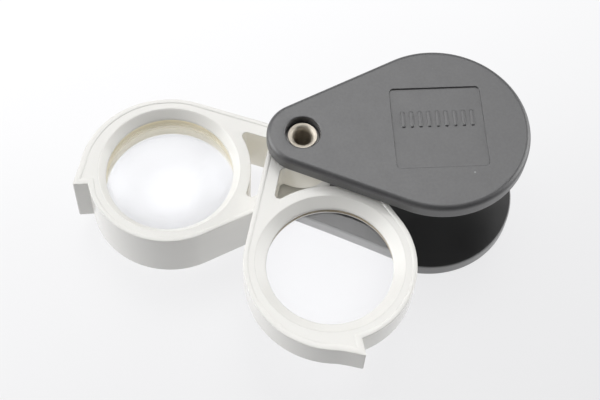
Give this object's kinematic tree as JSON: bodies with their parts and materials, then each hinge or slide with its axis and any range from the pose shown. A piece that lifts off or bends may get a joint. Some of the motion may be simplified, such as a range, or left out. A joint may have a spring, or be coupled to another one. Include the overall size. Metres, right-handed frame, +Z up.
{
  "type": "folding pocket loupe",
  "caption": "Folding pocket loupe: teardrop covers on a hollow rivet, with a thick and a thin swing-out lens frame between them, each with a thumb tab.",
  "frame": {"origin": "on the lower cover's flat outer face, under the centre of its wide end", "axes": "+Z up through the stack along the rivet's direction, +X from the rivet axis to the centre of the lower cover's wide end"},
  "size_m": [0.0857, 0.0606, 0.0264],
  "materials": {
    "cover_upper": "fine satin moulded dark grey",
    "cover_lower": "fine satin moulded dark grey",
    "frame_white": "semi-gloss warm white moulding",
    "ring_white": "semi-gloss warm white",
    "spacer_ivory": "matt ivory",
    "lens_glass": "clear polished glass",
    "bush_brass": "turned",
    "washer_nylon": "natural nylon",
    "rivet_nickel": "satin nickel plate",
    "spring_steel": "plain steel"
  },
  "bodies": {
    "root": {"lower_cover": "cover_lower", "pivot_tube": "rivet_nickel", "foot_washer": "spring_steel", "spring_washer": "spring_steel", "washer_lower": "washer_nylon", "washer_middle": "washer_nylon", "washer_upper": "washer_nylon"},
    "thick_arm": {"thick_frame": "frame_white", "thick_frame_bush": "bush_brass", "thick_retainer_upper": "ring_white", "thick_retainer_lower": "ring_white", "thick_spacer": "spacer_ivory", "thick_lens_upper": "lens_glass", "thick_lens_lower": "lens_glass"},
    "thin_arm": {"thin_frame": "frame_white", "thin_frame_bush": "bush_brass", "thin_retainer": "ring_white", "thin_lens_upper": "lens_glass", "thin_lens_lower": "lens_glass"},
    "cover_arm": {"upper_cover": "cover_upper"}
  },
  "joints": [
    {"name": "thick_swing", "type": "hinge", "parent": "root", "child": "thick_arm", "pos_m": [-0.02525, 0, 0.00975], "axis": [0, 0, 1], "continuous": true},
    {"name": "thin_swing", "type": "hinge", "parent": "root", "child": "thin_arm", "pos_m": [-0.02525, 0, 0.01935], "axis": [0, 0, 1], "continuous": true},
    {"name": "cover_swing", "type": "hinge", "parent": "root", "child": "cover_arm", "pos_m": [-0.02525, 0, 0.02455], "axis": [0, 0, 1], "continuous": true}
  ]
}
